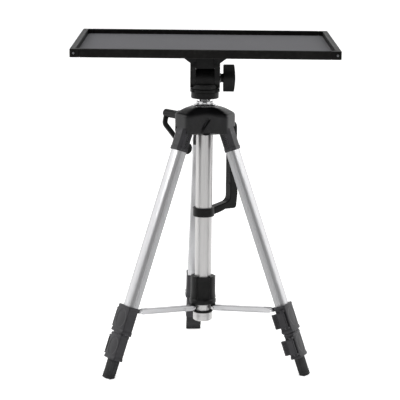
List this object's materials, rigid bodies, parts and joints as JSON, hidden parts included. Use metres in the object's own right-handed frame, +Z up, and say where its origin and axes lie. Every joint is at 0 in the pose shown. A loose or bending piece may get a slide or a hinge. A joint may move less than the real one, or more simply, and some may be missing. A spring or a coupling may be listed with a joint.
{
  "type": "projector tripod stand",
  "caption": "Light tripod stand for a projector: rimmed flat tray on a tilting, panning head, geared column, braced folding legs with telescopic sections.",
  "frame": {"origin": "on the ground under the centre of the stand's box", "axes": "+Z up through the tray, +X to the tilt knob's side, -Y the front from which the picture is taken"},
  "size_m": [0.38, 0.3158, 0.491],
  "materials": {
    "tray_plastic": "fine-grained satin black",
    "tray_mat": "dull dark grey anti-slip sheet",
    "black_plastic": "moulded black plastic, soft gloss",
    "aluminium": "silver anodised, lightly brushed lengthways",
    "steel": "bright zinc-plated",
    "rubber": "black rubber"
  },
  "bodies": {
    "base": {"shoulder_body": "black_plastic", "column_tube": "aluminium", "column_end_cap": "aluminium", "dome_ring": "steel", "carry_handle": "black_plastic", "pivot_pin_rear": "steel", "pivot_pin_left": "steel", "pivot_pin_right": "steel"},
    "column": {"column_rod": "aluminium", "column_stud": "steel", "jam_ring": "steel"},
    "head": {"head_base": "black_plastic"},
    "tray": {"tray_board": "tray_plastic", "tray_mat": "tray_mat", "tray_rail_front": "tray_plastic", "tray_rail_back": "tray_plastic", "tray_rail_left": "tray_plastic", "tray_rail_right": "tray_plastic", "tray_corner_front_left": "tray_plastic", "tray_corner_front_right": "tray_plastic", "tray_corner_back_left": "tray_plastic", "tray_corner_back_right": "tray_plastic", "tray_bracket": "black_plastic", "tilt_bolt": "steel"},
    "tilt_knob": {"tilt_knob": "black_plastic"},
    "crank": {"pinion_shaft": "steel", "crank_arm": "black_plastic"},
    "crank_grip": {"crank_knob": "black_plastic"},
    "hub": {"hub_sleeve": "black_plastic"},
    "leg_rear": {"leg_top_rear": "black_plastic", "tube_upper_rear": "aluminium", "collar_upper_rear": "black_plastic"},
    "middle_rear": {"tube_middle_rear": "aluminium", "collar_middle_rear": "black_plastic"},
    "lower_rear": {"tube_lower_rear": "aluminium", "foot_rear": "rubber"},
    "latch_upper_rear": {"lever_upper_rear": "black_plastic"},
    "latch_middle_rear": {"lever_middle_rear": "black_plastic"},
    "brace_rear": {"brace_rear": "aluminium"},
    "leg_left": {"leg_top_left": "black_plastic", "tube_upper_left": "aluminium", "collar_upper_left": "black_plastic"},
    "middle_left": {"tube_middle_left": "aluminium", "collar_middle_left": "black_plastic"},
    "lower_left": {"tube_lower_left": "aluminium", "foot_left": "rubber"},
    "latch_upper_left": {"lever_upper_left": "black_plastic"},
    "latch_middle_left": {"lever_middle_left": "black_plastic"},
    "brace_left": {"brace_left": "aluminium"},
    "leg_right": {"leg_top_right": "black_plastic", "tube_upper_right": "aluminium", "collar_upper_right": "black_plastic"},
    "middle_right": {"tube_middle_right": "aluminium", "collar_middle_right": "black_plastic"},
    "lower_right": {"tube_lower_right": "aluminium", "foot_right": "rubber"},
    "latch_upper_right": {"lever_upper_right": "black_plastic"},
    "latch_middle_right": {"lever_middle_right": "black_plastic"},
    "brace_right": {"brace_right": "aluminium"}
  },
  "joints": [
    {"name": "column_rise", "type": "slide", "parent": "base", "child": "column", "axis": [0, 0, 1], "range_m": [0, 0.2]},
    {"name": "head_pan", "type": "hinge", "parent": "column", "child": "head", "pos_m": [0, -0.0179, 0.41], "axis": [0, 0, 1], "continuous": true},
    {"name": "tray_tilt", "type": "hinge", "parent": "head", "child": "tray", "pos_m": [0, -0.0179, 0.434], "axis": [1, 0, 0], "range_deg": [-45, 45]},
    {"name": "tilt_knob_turn", "type": "hinge", "parent": "tray", "child": "tilt_knob", "pos_m": [0.035, -0.0179, 0.434], "axis": [1, 0, 0], "range_deg": [0, 180]},
    {"name": "crank_turn", "type": "hinge", "parent": "base", "child": "crank", "pos_m": [-0.01143, -0.0275, 0.374], "axis": [-0.6428, 0.766, 0], "range_deg": [-2040, 0]},
    {"name": "crank_grip_spin", "type": "hinge", "parent": "crank", "child": "crank_grip", "pos_m": [-0.03051, 0.04657, 0.317], "axis": [-0.6428, 0.766, 0], "continuous": true},
    {"name": "leg_rear_fold", "type": "hinge", "parent": "base", "child": "leg_rear", "pos_m": [-0.00272, 0.01318, 0.374], "axis": [-0.9962, -0.0872, 0], "range_deg": [0, 5]},
    {"name": "middle_rear_slide", "type": "slide", "parent": "leg_rear", "child": "middle_rear", "axis": [-0.0302, 0.3456, -0.9379], "range_m": [0, 0.2]},
    {"name": "lower_rear_slide", "type": "slide", "parent": "middle_rear", "child": "lower_rear", "axis": [-0.0302, 0.3456, -0.9379], "range_m": [0, 0.2]},
    {"name": "latch_upper_rear_flip", "type": "hinge", "parent": "leg_rear", "child": "latch_upper_rear", "pos_m": [0.00742, 0.12562, 0.08511], "axis": [0.0302, -0.3456, 0.9379], "range_deg": [0, 95]},
    {"name": "latch_middle_rear_flip", "type": "hinge", "parent": "middle_rear", "child": "latch_middle_rear", "pos_m": [0.00466, 0.14, 0.04572], "axis": [0.0302, -0.3456, 0.9379], "range_deg": [0, 95]},
    {"name": "brace_rear_fold", "type": "hinge", "parent": "hub", "child": "brace_rear", "pos_m": [-0.00157, 0.00003, 0.084], "axis": [-0.9962, -0.0872, 0], "range_deg": [0, 48.1]},
    {"name": "leg_left_fold", "type": "hinge", "parent": "base", "child": "leg_left", "pos_m": [-0.02556, -0.0358, 0.374], "axis": [0.5736, -0.8192, 0], "range_deg": [0, 5.1]},
    {"name": "middle_left_slide", "type": "slide", "parent": "leg_left", "child": "middle_left", "axis": [-0.2842, -0.199, -0.9379], "range_m": [0, 0.2]},
    {"name": "lower_left_slide", "type": "slide", "parent": "middle_left", "child": "lower_left", "axis": [-0.2842, -0.199, -0.9379], "range_m": [0, 0.2]},
    {"name": "latch_upper_left_flip", "type": "hinge", "parent": "leg_left", "child": "latch_upper_left", "pos_m": [-0.128, -0.08324, 0.08511], "axis": [0.2842, 0.199, 0.9379], "range_deg": [0, 95]},
    {"name": "latch_middle_left_flip", "type": "hinge", "parent": "middle_left", "child": "latch_middle_left", "pos_m": [-0.13908, -0.09282, 0.04572], "axis": [0.2842, 0.199, 0.9379], "range_deg": [0, 95]},
    {"name": "brace_left_fold", "type": "hinge", "parent": "hub", "child": "brace_left", "pos_m": [-0.01474, -0.02823, 0.084], "axis": [0.5736, -0.8192, 0], "range_deg": [0, 48.1]},
    {"name": "leg_right_fold", "type": "hinge", "parent": "base", "child": "leg_right", "pos_m": [0.02828, -0.03109, 0.374], "axis": [0.4226, 0.9063, 0], "range_deg": [0, 5.1]},
    {"name": "middle_right_slide", "type": "slide", "parent": "leg_right", "child": "middle_right", "axis": [0.3144, -0.1466, -0.9379], "range_m": [0, 0.2]},
    {"name": "lower_right_slide", "type": "slide", "parent": "middle_right", "child": "lower_right", "axis": [0.3144, -0.1466, -0.9379], "range_m": [0, 0.2]},
    {"name": "latch_upper_right_flip", "type": "hinge", "parent": "leg_right", "child": "latch_upper_right", "pos_m": [0.12058, -0.09609, 0.08511], "axis": [-0.3144, 0.1466, 0.9379], "range_deg": [0, 95]},
    {"name": "latch_middle_right_flip", "type": "hinge", "parent": "middle_right", "child": "latch_middle_right", "pos_m": [0.13442, -0.10089, 0.04572], "axis": [-0.3144, 0.1466, 0.9379], "range_deg": [0, 95]},
    {"name": "brace_right_fold", "type": "hinge", "parent": "hub", "child": "brace_right", "pos_m": [0.01631, -0.02551, 0.084], "axis": [0.4226, 0.9063, 0], "range_deg": [0, 48.1]},
    {"name": "hub_slide", "type": "slide", "parent": "base", "child": "hub", "axis": [0, 0, 1], "range_m": [0, 0.0672]}
  ],
  "couplings": [
    {"joint": "crank_turn", "follows": "column_rise", "rad_per_m": -177.78},
    {"joint": "brace_rear_fold", "follows": "leg_rear_fold", "ratio": 9.6},
    {"joint": "leg_left_fold", "follows": "leg_rear_fold", "ratio": 1},
    {"joint": "brace_left_fold", "follows": "leg_rear_fold", "ratio": 9.6},
    {"joint": "leg_right_fold", "follows": "leg_rear_fold", "ratio": 1},
    {"joint": "brace_right_fold", "follows": "leg_rear_fold", "ratio": 9.6},
    {"joint": "hub_slide", "follows": "leg_rear_fold", "m_per_rad": 0.76776}
  ]
}
